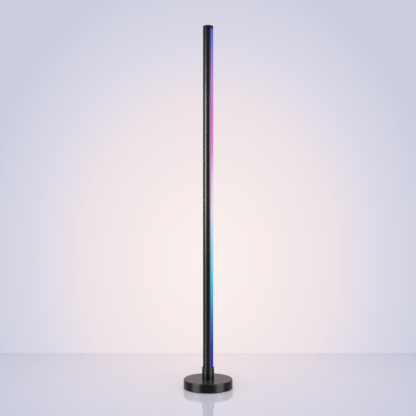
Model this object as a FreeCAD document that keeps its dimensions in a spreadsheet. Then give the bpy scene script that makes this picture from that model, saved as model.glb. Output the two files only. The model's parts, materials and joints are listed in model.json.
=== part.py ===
import FreeCAD, Part

import math
import os
import re

import Sketcher

# A corner floor lamp: a round black column that stands in the socket collar of a heavy disc base.
# The column is an extruded aluminium profile with a lengthways slot. An opal diffuser snaps into the
# slot and lies flush with the round outline, and a strip of light-emitting diodes shines through it.
# Millimetres. The origin is the middle of the base at the level of the floor, +Z is up, and the
# light slot faces +X. The power inlet is at the back of the base, on +Y.

Vector = FreeCAD.Vector

# ---------------------------------------------------------------------------------------------
# Driving sizes
# ---------------------------------------------------------------------------------------------

SIZES = {
    # the whole lamp
    "lamp_height": 1400.0,
    # how far a cut runs past a face, and a raised form into the solid that it joins
    "overrun": 1.0,
    # round base
    "base_dia": 190.0,
    "base_top": 34.0,
    "edge_round": 3.0,
    "shell_wall": 1.5,
    "shell_hole_dia": 24.0,
    "plate_thick": 1.5,
    "plate_gap": 0.3,
    "pad_dia": 18.0,
    "pad_thick": 2.0,
    "pad_inset": 21.0,
    # cast iron weight
    "weight_gap": 0.5,
    "weight_rim": 21.0,
    "stud_room": 0.3,
    "centre_boss_dia": 34.0,
    "centre_boss_drop": 1.2,
    "rib_thick": 5.0,
    "rib_drop": 3.0,
    "notch_gap": 2.0,
    # screws of the base plate
    "plate_screw_dia": 4.0,
    "plate_sink_edge": 0.1,
    "plate_screw_length": 10.0,
    "tap_spare": 2.0,
    "tap_gap": 0.05,
    "hole_gap": 0.3,
    # socket collar
    "collar_dia": 47.0,
    "collar_height": 46.0,
    "collar_floor": 6.0,
    "collar_gap": 0.15,
    "collar_rim": 0.8,
    # clamping stud under the column
    "stud_dia": 10.0,
    "stud_bore": 6.4,
    "stud_tail": 1.4,
    "stud_setback": 0.5,
    "washer_dia": 21.0,
    "washer_thick": 1.6,
    "nut_width": 16.0,
    "nut_thick": 6.0,
    # extruded light profile
    "pole_dia": 40.0,
    "pole_wall": 1.8,
    "light_angle": 120.0,
    "bead_height": 0.8,
    "bead_angle": 3.5,
    "web_back": 3.5,
    "web_thick": 1.6,
    "port_sink": 0.3,
    "port_angle": 115.0,
    "port_outer": 6.4,
    "port_bore": 2.9,
    "port_slot": 1.4,
    # end plate in the foot of the column
    "end_plate_thick": 10.0,
    "end_plate_gap": 0.1,
    "port_screw_dia": 2.8,
    "port_screw_head": 5.6,
    "port_screw_head_thick": 2.4,
    "port_screw_length": 18.0,
    "head_recess": 3.2,
    # joiner bars between the lengths of profile
    "joiner_length": 90.0,
    "joiner_width": 16.0,
    "joiner_thick": 6.0,
    "joiner_gap": 0.1,
    "channel_rib": 1.5,
    "channel_lip": 1.2,
    "channel_mouth": 12.4,
    "grub_dia": 4.0,
    "grub_length": 5.5,
    "grub_setback": 0.3,
    "grub_spread": 28.0,
    # light strip and diffuser
    "strip_width": 12.0,
    "strip_thick": 0.5,
    "chip_width": 5.0,
    "chip_thick": 1.6,
    "chip_pitch": 33.3,
    "strip_margin": 8.0,
    "strip_gap": 1.0,
    "diffuser_wall": 1.6,
    "diffuser_neck": 4.0,
    "snap_angle": 0.4,
    "snap_gap": 0.3,
    "hook_wall": 1.2,
    "hook_angle": 2.7,
    # top cap
    "cap_height": 13.0,
    "cap_bevel": 1.4,
    "spigot_length": 14.0,
    "spigot_width": 18.0,
    "spigot_wall": 2.4,
    "spigot_gap": 0.1,
    # controller board and its power inlet
    "board_gap": 3.0,
    "board_width": 30.0,
    "board_length": 46.0,
    "board_thick": 1.6,
    "board_corner": 2.0,
    "board_overhang": 2.0,
    "board_screw_dia": 3.0,
    "board_screw_head": 5.5,
    "board_screw_head_thick": 2.0,
    "board_screw_length": 7.0,
    "board_screw_inset": 4.0,
    "board_boss_dia": 7.0,
    "jack_size": 9.0,
    "jack_length": 12.0,
    "jack_gap": 0.3,
    "jack_nose_dia": 8.0,
    "jack_bore": 5.6,
    "jack_depth": 10.0,
    "jack_pin_dia": 2.0,
    "jack_setback": 0.2,
    "pin_setback": 1.0,
    "nose_gap": 0.1,
    "under_room": 2.9,
    "module_width": 18.0,
    "module_length": 13.0,
    "module_thick": 2.4,
    "module_gap": 4.0,
    "driver_size": 6.0,
    "driver_thick": 1.5,
    "driver_gap": 2.0,
    "capacitor_dia": 6.3,
    "capacitor_height": 8.0,
    "capacitor_inset": 1.0,
    "connector_width": 10.0,
    "connector_length": 8.0,
    "connector_thick": 6.0,
    # lead from the board to the strip
    "lead_dia": 3.0,
    "lead_bend": 4.6,
    "lead_clear": 0.4,
    "lead_dip": 12.0,
    "lead_rise": 7.0,
    "lead_step": 11.0,
    "lead_lap": 6.0,
    "notch_rest": 1.0,
    "notch_length": 24.0,
    "notch_side": 2.0,
}

# Places worked out from the driving sizes. Heights are above the floor.
PLACES = {
    "plate_screw_head": "plate_screw_dia + 2 * (plate_thick - plate_sink_edge)",
    "base_r": "base_dia / 2",
    "plate_top": "pad_thick + plate_thick",
    "board_stack": "board_gap + board_thick + jack_size",
    "web_low": "plate_top + board_stack + under_room",
    "shell_inside": "base_top - shell_wall",
    "cavity_r": "base_r - shell_wall",
    "inner_round": "edge_round - shell_wall",
    "edge_shoulder": "edge_round * (1 - sin(45deg))",
    "weight_r": "cavity_r - weight_gap",
    "rim_r": "weight_r - weight_rim",
    "plate_screw_r": "weight_r - weight_rim / 2",
    "weight_bore": "stud_dia + 2 * stud_room",
    "pad_r": "base_r - pad_inset",
    "collar_top": "base_top + collar_height",
    "collar_seat": "base_top + collar_floor",
    "socket_r": "pole_r + collar_gap",
    "pole_r": "pole_dia / 2",
    "bore_r": "pole_r - pole_wall",
    "pole_low": "collar_seat + end_plate_thick",
    "pole_top": "lamp_height - cap_height",
    "length_each": "(pole_top - pole_low) / 3",
    "slot_half": "light_angle / 2",
    "bead_r": "bore_r - bead_height",
    "bead_end": "slot_half + bead_angle",
    "web_front": "web_back + web_thick",
    "washer_low": "web_low - centre_boss_drop - washer_thick",
    "nut_low": "washer_low - nut_thick",
    "stud_low": "nut_low - stud_tail",
    "stud_top": "pole_low - stud_setback",
    "screw_seat": "collar_seat + head_recess",
    "port_r": "bore_r - port_outer / 2 + port_sink",
    "port_x": "port_r * cos(port_angle * 1deg)",
    "port_y": "port_r * sin(port_angle * 1deg)",
    "channel_half": "joiner_width / 2 + joiner_gap",
    "joiner_back": "bore_r - joiner_gap",
    "joiner_front": "joiner_back - joiner_thick",
    "strip_low": "pole_low + notch_length",
    "strip_top": "pole_top - spigot_length - strip_gap",
    "strip_front": "web_front + strip_thick",
    "board_top": "web_low - board_gap",
    "board_low": "board_top - board_thick",
    "jack_axis": "board_low - jack_size / 2",
    "jack_front": "cavity_r - jack_gap",
    "board_front": "jack_front - board_overhang",
    "board_back": "board_front - board_length",
    "board_screw_y": "board_back + board_screw_inset",
    "board_screw_x": "board_width / 2 - board_screw_inset",
    "lead_low": "plate_top + lead_dia / 2 + lead_clear",
    "lead_in_z": "board_low - connector_thick / 2",
    "lead_front": "strip_front + lead_dia / 2 + nose_gap",
}

document = FreeCAD.newDocument("CornerFloorLamp")
sheet = document.addObject("Spreadsheet::Sheet", "Sizes")
for row, (alias, value) in enumerate(SIZES.items(), start=1):
    sheet.set(f"A{row}", alias.replace("_", " "))
    sheet.set(f"B{row}", str(value))
    sheet.setAlias(f"B{row}", alias)
document.recompute()


def formula(text):
    """Spells a formula out for the document: places in full, and sizes by their cell in the sheet."""

    def spell(match):
        word = match.group(0)
        if word in PLACES:
            return "(" + formula(PLACES[word]) + ")"
        return f"Sizes.{word}" if word in SIZES else word

    return re.sub(r"[a-z][a-z_]*", spell, text)


def measure(text):
    """The value of a formula, in millimetres or degrees."""
    return float(sheet.evalExpression(formula(text)))


def polar(radius, angle):
    """The two coordinate formulas of a point at a radius and an angle in degrees."""
    return f"({radius}) * cos(({angle}) * 1deg)", f"({radius}) * sin(({angle}) * 1deg)"


# ---------------------------------------------------------------------------------------------
# Sketches and features
# ---------------------------------------------------------------------------------------------

parts = []


def new_body(label):
    """One piece of the lamp. Its label names its node and its file."""
    body = document.addObject("PartDesign::Body", label)
    body.Label = label
    parts.append(body)
    return body


def origin_feature(body, role):
    """One of the body's own origin planes or axes."""
    return next(feature for feature in body.Origin.OriginFeatures if feature.Role == role)


def new_sketch(body, name, plane="XY_Plane", level="0", shift="0"):
    """A sketch on an origin plane, raised to a level along its normal and shifted along its own X."""
    sketch = body.newObject("Sketcher::SketchObject", name)
    sketch.AttachmentSupport = [(origin_feature(body, plane), "")]
    sketch.MapMode = "FlatFace"
    sketch.setExpression(".AttachmentOffset.Base.z", formula(level))
    sketch.setExpression(".AttachmentOffset.Base.x", formula(shift))
    return sketch


def bind(sketch, constraint, text):
    """Adds a constraint whose value follows a formula."""
    index = sketch.addConstraint(constraint)
    sketch.setExpression(f"Constraints[{index}]", formula(text))


def pin_point(sketch, edge, end, x, y):
    """Holds the end of an edge, or the centre of a circle, at a place given by two formulas."""
    for direction, text in (("DistanceX", x), ("DistanceY", y)):
        bind(sketch, Sketcher.Constraint(direction, -1, 1, edge, end, measure(text)), text)


def arc_edge(start, end, radius, turn):
    """The shorter arc between two points. A turn of 1 is anticlockwise and of -1 clockwise."""
    half_chord = (end - start) / 2
    rise = math.sqrt(max(radius**2 - half_chord.Length**2, 0.0))
    left = Vector(-half_chord.y, half_chord.x, 0).normalize()
    centre = start + half_chord + left * rise * turn
    middle = centre - left * radius * turn
    return Part.Arc(start, middle, end) if turn > 0 else Part.Arc(end, middle, start)


def draw_outline(sketch, corners):
    """A closed outline. A corner is (x, y), or (x, y, radius, turn) where an arc leads to it."""
    points = [Vector(measure(corner[0]), measure(corner[1]), 0) for corner in corners]
    first = sketch.GeometryCount
    count = len(corners)
    ends = []
    for index in range(count):
        start, end = points[index - 1], points[index]
        if len(corners[index]) == 4:
            radius, turn = corners[index][2:]
            edge = sketch.addGeometry(arc_edge(start, end, measure(radius), turn), False)
            ends.append((1, 2) if turn > 0 else (2, 1))
        else:
            edge = sketch.addGeometry(Part.LineSegment(start, end), False)
            ends.append((1, 2))
    for index in range(count):
        edge, following = first + index, first + (index + 1) % count
        finish, begin = ends[index][1], ends[(index + 1) % count][0]
        sketch.addConstraint(Sketcher.Constraint("Coincident", edge, finish, following, begin))
        pin_point(sketch, edge, finish, *corners[index][:2])
        if len(corners[index]) == 4:
            radius = corners[index][2]
            bind(sketch, Sketcher.Constraint("Radius", edge, measure(radius)), radius)


def draw_circle(sketch, radius, x="0", y="0"):
    """A circle whose centre and radius follow formulas."""
    centre = Vector(measure(x), measure(y), 0)
    edge = sketch.addGeometry(Part.Circle(centre, Vector(0, 0, 1), measure(radius)), False)
    pin_point(sketch, edge, 3, x, y)
    bind(sketch, Sketcher.Constraint("Radius", edge, measure(radius)), radius)


def draw_box(sketch, left, right, low, high):
    """A rectangle between four formulas."""
    draw_outline(sketch, [(left, low), (right, low), (right, high), (left, high)])


def draw_hexagon(sketch, width, x="0", y="0"):
    """A regular hexagon with a given width across its flats."""
    corner_radius = f"({width}) / 2 / cos(30deg)"
    corners = [polar(corner_radius, str(60 * corner)) for corner in range(6)]
    draw_outline(sketch, [(f"{x} + {across}", f"{y} + {along}") for across, along in corners])


def pad(body, sketch, name, length, downward=False):
    """Raises a sketch into a solid."""
    feature = body.newObject("PartDesign::Pad", name)
    feature.Profile = sketch
    feature.setExpression("Length", formula(length))
    feature.Reversed = downward
    document.recompute()
    return feature


def pocket(body, sketch, name, length, upward=False):
    """Cuts a sketch out of the solid, and makes sure that something was cut."""
    before = body.Shape.Volume
    feature = body.newObject("PartDesign::Pocket", name)
    feature.Profile = sketch
    feature.setExpression("Length", formula(length))
    feature.Reversed = upward
    document.recompute()
    if body.Shape.Volume >= before:
        raise RuntimeError(f"{name} cuts nothing")
    return feature


def turn(body, sketch, name):
    """Turns a sketch a full circle about its own vertical axis."""
    feature = body.newObject("PartDesign::Revolution", name)
    feature.Profile = sketch
    feature.ReferenceAxis = (sketch, ["V_Axis"])
    feature.Angle = 360.0
    document.recompute()
    return feature


def repeat_round(body, features, name, count):
    """Repeats features evenly about the vertical axis."""
    pattern = body.newObject("PartDesign::PolarPattern", name)
    pattern.Originals = features
    pattern.Axis = (origin_feature(body, "Z_Axis"), [""])
    pattern.Angle = 360.0
    pattern.Occurrences = count
    body.Tip = pattern
    document.recompute()


def repeat_up(body, feature, name, spacing, count):
    """Repeats a feature upward at an even spacing."""
    pattern = body.newObject("PartDesign::LinearPattern", name)
    pattern.Originals = [feature]
    pattern.Direction = (origin_feature(body, "Z_Axis"), [""])
    pattern.Mode = "Spacing"
    pattern.setExpression("Offset", formula(spacing))
    pattern.Occurrences = count
    body.Tip = pattern
    document.recompute()


# ---------------------------------------------------------------------------------------------
# Base
# ---------------------------------------------------------------------------------------------

PLATE_SCREWS = 4
FOOT_PADS = 4
WEIGHT_RIBS = 3
FIRST_SCREW = "45"


def make_base_shell():
    """The drawn steel cover: a shallow cup, open below, with a hole for the collar's spigot."""
    body = new_body("base_shell")
    section = new_sketch(body, "shell_section", "XZ_Plane")
    draw_outline(section, [
        ("shell_hole_dia / 2", "shell_inside"),
        ("cavity_r - inner_round", "shell_inside"),
        ("cavity_r", "shell_inside - inner_round"),
        ("cavity_r", "pad_thick"),
        ("base_r", "pad_thick"),
        ("base_r", "base_top - edge_round"),
        ("base_r - edge_shoulder", "base_top - edge_shoulder"),
        ("base_r - edge_round", "base_top"),
        ("shell_hole_dia / 2", "base_top"),
    ])
    turn(body, section, "shell_cup")
    inlet = new_sketch(body, "inlet_hole", "XZ_Plane")
    draw_circle(inlet, "jack_nose_dia / 2 + nose_gap", "0", "jack_axis")
    pocket(body, inlet, "inlet_cut", "base_dia")


def make_base_weight():
    """The iron casting that fills the cover: a deep rim round a cavity, webbed over the top."""
    body = new_body("base_weight")
    section = new_sketch(body, "casting_section", "XZ_Plane")
    draw_outline(section, [
        ("weight_bore / 2", "web_low - centre_boss_drop"),
        ("centre_boss_dia / 2", "web_low - centre_boss_drop"),
        ("centre_boss_dia / 2", "web_low"),
        ("rim_r", "web_low"),
        ("rim_r", "plate_top"),
        ("weight_r", "plate_top"),
        ("weight_r", "shell_inside - inner_round"),
        ("weight_r - inner_round", "shell_inside"),
        ("weight_bore / 2", "shell_inside"),
    ])
    turn(body, section, "casting")
    rib = new_sketch(body, "rib_outline", "XY_Plane", "web_low - rib_drop")
    across = (f"{sign} * rib_thick / 2" for sign in (-1, 1))
    draw_box(rib, "centre_boss_dia / 2 - overrun", "rim_r + overrun", *across)
    first_rib = pad(body, rib, "rib", "rib_drop + overrun")
    repeat_round(body, [first_rib], "ribs", WEIGHT_RIBS)
    notch = new_sketch(body, "board_notch", "XY_Plane", "plate_top - overrun")
    side = "board_width / 2 + notch_gap"
    draw_box(notch, f"-({side})", side, "board_back - notch_gap", "base_dia")
    pocket(body, notch, "board_room", "web_low - plate_top + overrun", upward=True)
    bosses = new_sketch(body, "board_bosses", "XY_Plane", "board_top")
    for sign in ("-", ""):
        draw_circle(bosses, "board_boss_dia / 2", f"{sign}(board_screw_x)", "board_screw_y")
    pad(body, bosses, "bosses", "board_gap + overrun")
    taps = new_sketch(body, "board_taps", "XY_Plane", "board_top - overrun")
    for sign in ("-", ""):
        draw_circle(taps, "board_screw_dia / 2 + tap_gap", f"{sign}(board_screw_x)", "board_screw_y")
    pocket(body, taps, "board_holes", "board_screw_length + overrun", upward=True)
    tap = new_sketch(body, "plate_tap", "XY_Plane", "plate_top - overrun")
    draw_circle(tap, "plate_screw_dia / 2 + tap_gap", *polar("plate_screw_r", FIRST_SCREW))
    first_tap = pocket(body, tap, "plate_hole", "plate_screw_length + tap_spare + overrun", upward=True)
    repeat_round(body, [first_tap], "plate_holes", PLATE_SCREWS)


def make_base_plate():
    """The steel disc that closes the base from below, countersunk for its screws."""
    body = new_body("base_plate")
    disc = new_sketch(body, "plate_disc", "XY_Plane", "pad_thick")
    draw_circle(disc, "cavity_r - plate_gap")
    pad(body, disc, "plate", "plate_thick")
    sink = new_sketch(body, "screw_sink", "XZ_Plane", "0", "plate_screw_r")
    draw_screw_section(sink, "hole_gap")
    cut = body.newObject("PartDesign::Groove", "sink_cut")
    cut.Profile = sink
    cut.ReferenceAxis = (sink, ["V_Axis"])
    cut.Angle = 360.0
    document.recompute()
    repeat_round(body, [cut], "sink_cuts", PLATE_SCREWS)
    body.setExpression(".Placement.Rotation.Angle", FIRST_SCREW)


def draw_screw_section(sketch, gap):
    """Half the section of a countersunk screw, flush with the plate, or with a gap of its hole."""
    draw_outline(sketch, [
        ("0", "pad_thick"),
        (f"plate_screw_head / 2 + {gap}", "pad_thick"),
        (f"plate_screw_dia / 2 + {gap}", "pad_thick + (plate_screw_head - plate_screw_dia) / 2"),
        (f"plate_screw_dia / 2 + {gap}", "plate_top + plate_screw_length"),
        ("0", "plate_top + plate_screw_length"),
    ])


def make_base_plate_screws():
    """The countersunk screws that hold the plate to the rim of the weight."""
    body = new_body("base_plate_screws")
    section = new_sketch(body, "screw_section", "XZ_Plane", "0", "plate_screw_r")
    draw_screw_section(section, "0")
    repeat_round(body, [turn(body, section, "screw")], "screws", PLATE_SCREWS)
    body.setExpression(".Placement.Rotation.Angle", FIRST_SCREW)


def make_foot_pads():
    """The rubber pads under the plate."""
    body = new_body("foot_pads")
    section = new_sketch(body, "pad_section", "XZ_Plane", "0", "pad_r")
    draw_outline(section, [
        ("0", "0"),
        ("pad_dia / 2", "0"),
        ("pad_dia / 2", "pad_thick"),
        ("0", "pad_thick"),
    ])
    repeat_round(body, [turn(body, section, "foot_pad")], "pads", FOOT_PADS)


# ---------------------------------------------------------------------------------------------
# Socket collar and the stud that clamps the column
# ---------------------------------------------------------------------------------------------


def make_socket_collar():
    """The turned sleeve that the column stands in, with a spigot through the cover."""
    body = new_body("socket_collar")
    section = new_sketch(body, "collar_section", "XZ_Plane")
    bore = "stud_dia / 2 + hole_gap"
    spigot = "shell_hole_dia / 2 - nose_gap"
    draw_outline(section, [
        (bore, "shell_inside"),
        (spigot, "shell_inside"),
        (spigot, "base_top"),
        ("collar_dia / 2", "base_top"),
        ("collar_dia / 2", "collar_top - collar_rim"),
        ("collar_dia / 2 - collar_rim", "collar_top"),
        ("socket_r", "collar_top"),
        ("socket_r", "collar_seat"),
        (bore, "collar_seat"),
    ])
    turn(body, section, "collar")


def make_centre_stud():
    """The hollow threaded stud. The lead to the light strip runs up inside it."""
    body = new_body("centre_stud")
    section = new_sketch(body, "stud_section", "XZ_Plane")
    draw_outline(section, [
        ("stud_bore / 2", "stud_low"),
        ("stud_dia / 2", "stud_low"),
        ("stud_dia / 2", "stud_top"),
        ("stud_bore / 2", "stud_top"),
    ])
    turn(body, section, "stud")


def make_stud_washer():
    """The wide washer between the casting and the nut."""
    body = new_body("stud_washer")
    ring = new_sketch(body, "washer_ring", "XY_Plane", "washer_low")
    draw_circle(ring, "washer_dia / 2")
    draw_circle(ring, "stud_dia / 2 + hole_gap")
    pad(body, ring, "washer", "washer_thick")


def make_stud_nut():
    """The hexagon nut that pulls the column down into its collar."""
    body = new_body("stud_nut")
    hexagon = new_sketch(body, "nut_hexagon", "XY_Plane", "nut_low")
    draw_hexagon(hexagon, "nut_width")
    draw_circle(hexagon, "stud_dia / 2 + tap_gap")
    pad(body, hexagon, "nut", "nut_thick")


def make_pole_end_plate():
    """The disc in the foot of the column, threaded for the stud and screwed to the profile."""
    body = new_body("pole_end_plate")
    section = new_sketch(body, "disc_section", "XZ_Plane")
    edge = "pole_r - end_plate_gap"
    bore = "stud_dia / 2 + tap_gap"
    draw_outline(section, [
        (bore, "collar_seat"),
        (edge, "collar_seat"),
        (edge, "pole_low"),
        (bore, "pole_low"),
    ])
    turn(body, section, "disc")
    holes = new_sketch(body, "screw_holes", "XY_Plane", "pole_low + overrun")
    recesses = new_sketch(body, "head_recesses", "XY_Plane", "collar_seat - overrun")
    for sign in ("-", ""):
        draw_circle(holes, "port_screw_dia / 2 + hole_gap", "port_x", f"{sign}(port_y)")
        draw_circle(recesses, "port_screw_head / 2 + hole_gap", "port_x", f"{sign}(port_y)")
    pocket(body, holes, "hole_cuts", "end_plate_thick + 2 * overrun")
    pocket(body, recesses, "recess_cuts", "head_recess + overrun", upward=True)


def make_end_plate_screws():
    """The pan head screws that cut their thread in the screw ports of the profile."""
    body = new_body("end_plate_screws")
    heads = new_sketch(body, "heads", "XY_Plane", "screw_seat")
    shanks = new_sketch(body, "shanks", "XY_Plane", "screw_seat")
    for sign in ("-", ""):
        draw_circle(heads, "port_screw_head / 2", "port_x", f"{sign}(port_y)")
        draw_circle(shanks, "port_screw_dia / 2", "port_x", f"{sign}(port_y)")
    pad(body, heads, "head_pads", "port_screw_head_thick", downward=True)
    pad(body, shanks, "shank_pads", "port_screw_length")


# ---------------------------------------------------------------------------------------------
# Light profile
# ---------------------------------------------------------------------------------------------


def mirrored_below(corners):
    """The same corners below the X axis in reverse order, with each arc on its own edge again."""
    lower = []
    for index in range(len(corners) - 1, -1, -1):
        x, y = corners[index][:2]
        arc = corners[index + 1][2:] if index + 1 < len(corners) else ()
        lower.append((x, f"-({y})", *arc))
    return lower


def make_pole_length(label, low, joints, foot=False):
    """One length of the extrusion: a round wall with a slot, a web for the strip and its fixings.

    Each joint is a height at which a joiner bar meets another length, with the side it lies on.
    """
    body = new_body(label)
    section = new_sketch(body, "wall_section", "XY_Plane", low)
    half_chord = "sqrt(bore_r ^ 2 - web_front ^ 2)"
    upper_edge = [
        ("web_front", half_chord),
        (*polar("bore_r", "bead_end"), "bore_r", -1),
        polar("bead_r", "bead_end"),
        (*polar("bead_r", "slot_half"), "bead_r", -1),
        polar("pole_r", "slot_half"),
    ]
    back = [("-(pole_r)", "0", "pole_r", 1)]
    lower_edge = mirrored_below(upper_edge)
    lower_edge[0] = (*lower_edge[0][:2], "pole_r", 1)
    draw_outline(section, upper_edge + back + lower_edge)
    chamber_corner = "sqrt(bore_r ^ 2 - web_back ^ 2)"
    draw_outline(section, [
        ("web_back", chamber_corner),
        ("-(bore_r)", "0", "bore_r", 1),
        ("web_back", f"-({chamber_corner})", "bore_r", 1),
    ])
    pad(body, section, "wall_and_web", "length_each")

    ports = new_sketch(body, "port_bosses", "XY_Plane", low)
    bores = new_sketch(body, "port_bores", "XY_Plane", f"{low} - overrun")
    slots = new_sketch(body, "port_slots", "XY_Plane", f"{low} - overrun")
    for sign in ("-", ""):
        draw_circle(ports, "port_outer / 2", "port_x", f"{sign}(port_y)")
        draw_circle(bores, "port_bore / 2", "port_x", f"{sign}(port_y)")
        draw_port_slot(slots, sign)
    pad(body, ports, "ports", "length_each")
    pocket(body, bores, "bore_cuts", "length_each + 2 * overrun", upward=True)
    pocket(body, slots, "slot_cuts", "length_each + 2 * overrun", upward=True)

    ribs = new_sketch(body, "channel_ribs", "XY_Plane", low)
    root = "-(sqrt(bore_r ^ 2 - channel_half ^ 2) + pole_wall / 2)"
    lip_back = "-(joiner_front - joiner_gap)"
    lip_front = f"{lip_back} + channel_lip"
    for order, sign in ((1, ""), (-1, "-")):
        rib = [
            (root, f"{sign}(channel_half)"),
            (lip_back, f"{sign}(channel_half)"),
            (lip_back, f"{sign}(channel_mouth / 2)"),
            (lip_front, f"{sign}(channel_mouth / 2)"),
            (lip_front, f"{sign}(channel_half + channel_rib)"),
            (root, f"{sign}(channel_half + channel_rib)"),
        ]
        draw_outline(ribs, rib[::order])
    pad(body, ribs, "channel", "length_each")

    for number, (joint, side) in enumerate(joints, start=1):
        hole = new_sketch(body, f"grub_hole_{number}", "YZ_Plane")
        draw_circle(hole, "grub_dia / 2 + hole_gap", "0", f"{joint} {side} grub_spread")
        pocket(body, hole, f"grub_cut_{number}", "pole_dia")
    if foot:
        notch = new_sketch(body, "lead_notch", "YZ_Plane", "web_back - overrun")
        half = "(lead_dia / 2 + notch_side)"
        top = f"{low} + notch_length - notch_rest"
        draw_outline(notch, [
            (half, f"{low} - overrun"),
            (half, f"{top} - {half}"),
            ("0", top, half, 1),
            (f"-{half}", f"{top} - {half}", half, 1),
            (f"-{half}", f"{low} - overrun"),
        ])
        pocket(body, notch, "notch_cut", "web_thick + 2 * overrun", upward=True)


def draw_port_slot(sketch, sign):
    """The slot that opens a screw port to the chamber, which lets the extrusion die hold its core."""
    reach = "port_outer / 2 + overrun"
    half = "port_slot / 2"
    inward = f"{sign}(port_angle + 180)"
    square = f"{sign}(port_angle + 270)"
    x, y = "port_x", f"{sign}(port_y)"
    step_x, step_y = polar(half, square)
    far_x, far_y = polar(reach, inward)
    draw_outline(sketch, [
        (f"{x} + {step_x}", f"{y} + {step_y}"),
        (f"{x} - {step_x}", f"{y} - {step_y}"),
        (f"{x} - {step_x} + {far_x}", f"{y} - {step_y} + {far_y}"),
        (f"{x} + {step_x} + {far_x}", f"{y} + {step_y} + {far_y}"),
    ])


def make_joiner(label, joint):
    """The bar that slides in the channels of two lengths and is pressed forward by grub screws."""
    body = new_body(label)
    section = new_sketch(body, "bar_section", "XY_Plane", f"{joint} - joiner_length / 2")
    half = "joiner_width / 2"
    back = f"-sqrt((joiner_back) ^ 2 - ({half}) ^ 2)"
    draw_outline(section, [
        (back, f"-({half})", "joiner_back", 1),
        ("-(joiner_front)", f"-({half})"),
        ("-(joiner_front)", half),
        (back, half),
    ])
    pad(body, section, "bar", "joiner_length")
    taps = new_sketch(body, "grub_taps", "YZ_Plane")
    for side in ("-", "+"):
        draw_circle(taps, "grub_dia / 2 + tap_gap", "0", f"{joint} {side} grub_spread")
    pocket(body, taps, "tap_cuts", "pole_dia")


def make_joiner_screws(joints):
    """The socket grub screws in the back of the column, a little below its surface."""
    body = new_body("joiner_screws")
    places = [f"{joint} {side} grub_spread" for joint in joints for side in ("-", "+")]
    rods = new_sketch(body, "grub_rods", "YZ_Plane", "-(pole_r - grub_setback)")
    for place in places:
        draw_circle(rods, "grub_dia / 2", "0", place)
    pad(body, rods, "rods", "grub_length")


# ---------------------------------------------------------------------------------------------
# Light strip, diffuser and cap
# ---------------------------------------------------------------------------------------------


def make_led_strip():
    """The flexible circuit that is stuck to the front of the web."""
    body = new_body("led_strip")
    section = new_sketch(body, "tape_section", "XY_Plane", "strip_low")
    draw_box(section, "web_front", "strip_front", "-strip_width / 2", "strip_width / 2")
    pad(body, section, "tape", "strip_top - strip_low")


def make_led_chips():
    """The square light-emitting diodes, at an even pitch up the strip."""
    body = new_body("led_chips")
    room = measure("strip_top - strip_low - 2 * strip_margin - chip_width")
    count = int(room // measure("chip_pitch")) + 1
    first = "strip_low + strip_margin"
    outline = new_sketch(body, "chip_outline", "YZ_Plane", "strip_front")
    draw_box(outline, "-chip_width / 2", "chip_width / 2", first, f"{first} + chip_width")
    chip = pad(body, outline, "chip", "chip_thick")
    repeat_up(body, chip, "chips", "chip_pitch", count)


def make_diffuser():
    """The opal cover: an arc flush with the wall, on two necks whose hooks snap behind the beads."""
    body = new_body("diffuser")
    section = new_sketch(body, "cover_section", "XY_Plane", "pole_low")
    edge = "slot_half - snap_angle"
    neck_side = f"{edge} - diffuser_neck"
    inside = "pole_r - diffuser_wall"
    leg_top = "bead_r - snap_gap"
    leg_low = f"{leg_top} - hook_wall"
    hook_start = "bead_end + snap_angle * 2"
    hook_end = f"{hook_start} + hook_angle"
    hook_r = "bore_r - snap_gap"
    upper = [
        polar("pole_r", edge),
        polar(leg_top, edge),
        (*polar(leg_top, hook_start), leg_top, 1),
        polar(hook_r, hook_start),
        (*polar(hook_r, hook_end), hook_r, 1),
        polar(leg_low, hook_end),
        (*polar(leg_low, neck_side), leg_low, -1),
        polar(inside, neck_side),
    ]
    crown = (inside, "0", inside, -1)
    lower = mirrored_below(upper)
    lower[0] = (*lower[0][:2], inside, -1)
    face = ("pole_r", "0", "pole_r", 1)
    first = (*upper[0], "pole_r", 1)
    draw_outline(section, [first, *upper[1:], crown, *lower, face])
    pad(body, section, "cover", "pole_top - pole_low")


def make_top_cap():
    """The moulded cap, with a hollow spigot that presses into the back chamber of the profile."""
    body = new_body("top_cap")
    section = new_sketch(body, "cap_section", "XZ_Plane")
    draw_outline(section, [
        ("0", "pole_top"),
        ("pole_r", "pole_top"),
        ("pole_r", "lamp_height - cap_bevel"),
        ("pole_r - cap_bevel", "lamp_height"),
        ("0", "lamp_height"),
    ])
    turn(body, section, "cap")
    back = "-(joiner_front - joiner_gap) + channel_lip + spigot_gap"
    front = "web_back - spigot_gap"
    spigot = new_sketch(body, "spigot_outline", "XY_Plane", "pole_top")
    draw_box(spigot, back, front, "-spigot_width / 2", "spigot_width / 2")
    pad(body, spigot, "spigot", "spigot_length", downward=True)
    core = new_sketch(body, "spigot_core", "XY_Plane", "pole_top - spigot_length - overrun")
    wall = "spigot_wall"
    draw_box(core, f"{back} + {wall}", f"{front} - {wall}",
             f"-spigot_width / 2 + {wall}", f"spigot_width / 2 - {wall}")
    pocket(body, core, "spigot_hollow", "spigot_length + overrun", upward=True)


# ---------------------------------------------------------------------------------------------
# Controller board, power inlet and the lead to the strip
# ---------------------------------------------------------------------------------------------


def make_controller_board():
    """The circuit board that hangs from two bosses under the web of the casting."""
    body = new_body("controller_board")
    outline = new_sketch(body, "board_outline", "XY_Plane", "board_low")
    side, cut = "board_width / 2", "board_corner"
    draw_outline(outline, [
        (f"-{side} + {cut}", "board_back"),
        (f"{side} - {cut}", "board_back"),
        (side, f"board_back + {cut}"),
        (side, f"board_front - {cut}"),
        (f"{side} - {cut}", "board_front"),
        (f"-{side} + {cut}", "board_front"),
        (f"-{side}", f"board_front - {cut}"),
        (f"-{side}", f"board_back + {cut}"),
    ])
    for sign in ("-", ""):
        draw_circle(outline, "(board_screw_dia + hole_gap) / 2", f"{sign}(board_screw_x)", "board_screw_y")
    pad(body, outline, "board", "board_thick")


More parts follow.
